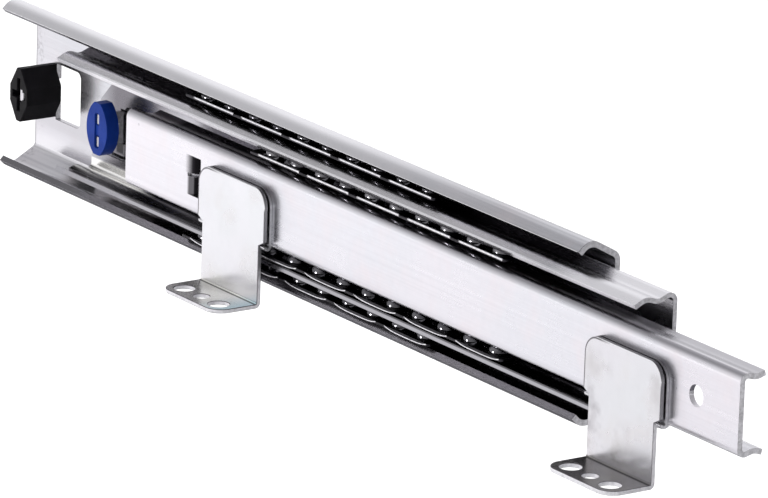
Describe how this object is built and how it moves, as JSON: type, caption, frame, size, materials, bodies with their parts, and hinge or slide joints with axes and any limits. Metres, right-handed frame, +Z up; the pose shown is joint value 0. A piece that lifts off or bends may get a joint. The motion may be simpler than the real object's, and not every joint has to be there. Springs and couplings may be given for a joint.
{
  "type": "ball bearing slide",
  "caption": "Full-extension ball bearing slide with nested zinc-plated steel channels, caged steel balls, a black and a blue stop bumper, and foot brackets on the moving member.",
  "frame": {"origin": "Centre of the outer member's back face, halfway along it and halfway up", "axes": "+X is the direction the slide pulls out, +Y points back to the cabinet wall, +Z is up"},
  "size_m": [0.3807, 0.0364, 0.0562],
  "materials": {
    "zinc_steel": "bright zinc-plated steel sheet, satin, with faint drawing lines",
    "ball_steel": "polished bearing steel",
    "cage_steel": "plain steel strip, lightly greased",
    "bracket_zinc": "bright zinc plating with faint yellow and blue tints",
    "black_rubber": "matt moulded rubber",
    "blue_plastic": "satin moulded plastic"
  },
  "bodies": {
    "outer": {"outer_member": "zinc_steel", "rear_bumper": "black_rubber"},
    "intermediate": {"intermediate_member": "zinc_steel", "stop_bumper": "blue_plastic"},
    "inner": {"inner_member": "zinc_steel", "rear_bracket": "bracket_zinc", "front_bracket": "bracket_zinc", "rear_hook_plate": "bracket_zinc", "front_hook_plate": "bracket_zinc"},
    "outer_top_cage": {"outer_top_cage": "cage_steel", "outer_top_balls_1": "ball_steel", "outer_top_balls_2": "ball_steel", "outer_top_balls_3": "ball_steel", "outer_top_balls_4": "ball_steel", "outer_top_balls_5": "ball_steel"},
    "outer_bottom_cage": {"outer_bottom_cage": "cage_steel", "outer_bottom_balls_1": "ball_steel", "outer_bottom_balls_2": "ball_steel", "outer_bottom_balls_3": "ball_steel", "outer_bottom_balls_4": "ball_steel", "outer_bottom_balls_5": "ball_steel"},
    "inner_top_cage": {"inner_top_cage": "cage_steel", "inner_top_balls_1": "ball_steel", "inner_top_balls_2": "ball_steel", "inner_top_balls_3": "ball_steel", "inner_top_balls_4": "ball_steel", "inner_top_balls_5": "ball_steel"},
    "inner_bottom_cage": {"inner_bottom_cage": "cage_steel", "inner_bottom_balls_1": "ball_steel", "inner_bottom_balls_2": "ball_steel", "inner_bottom_balls_3": "ball_steel", "inner_bottom_balls_4": "ball_steel", "inner_bottom_balls_5": "ball_steel"}
  },
  "joints": [
    {"name": "intermediate_slide", "type": "slide", "parent": "outer", "child": "intermediate", "axis": [1, 0, 0], "range_m": [-0.026, 0.124]},
    {"name": "inner_slide", "type": "slide", "parent": "intermediate", "child": "inner", "axis": [1, 0, 0], "range_m": [-0.0545, 0.0975]},
    {"name": "outer_top_cage_slide", "type": "slide", "parent": "outer", "child": "outer_top_cage", "axis": [1, 0, 0], "range_m": [-0.013, 0.062]},
    {"name": "outer_bottom_cage_slide", "type": "slide", "parent": "outer", "child": "outer_bottom_cage", "axis": [1, 0, 0], "range_m": [-0.013, 0.062]},
    {"name": "inner_top_cage_slide", "type": "slide", "parent": "intermediate", "child": "inner_top_cage", "axis": [1, 0, 0], "range_m": [-0.02725, 0.04875]},
    {"name": "inner_bottom_cage_slide", "type": "slide", "parent": "intermediate", "child": "inner_bottom_cage", "axis": [1, 0, 0], "range_m": [-0.02725, 0.04875]}
  ],
  "couplings": [
    {"joint": "outer_top_cage_slide", "follows": "intermediate_slide", "ratio": 0.5},
    {"joint": "outer_bottom_cage_slide", "follows": "intermediate_slide", "ratio": 0.5},
    {"joint": "inner_top_cage_slide", "follows": "inner_slide", "ratio": 0.5},
    {"joint": "inner_bottom_cage_slide", "follows": "inner_slide", "ratio": 0.5}
  ]
}
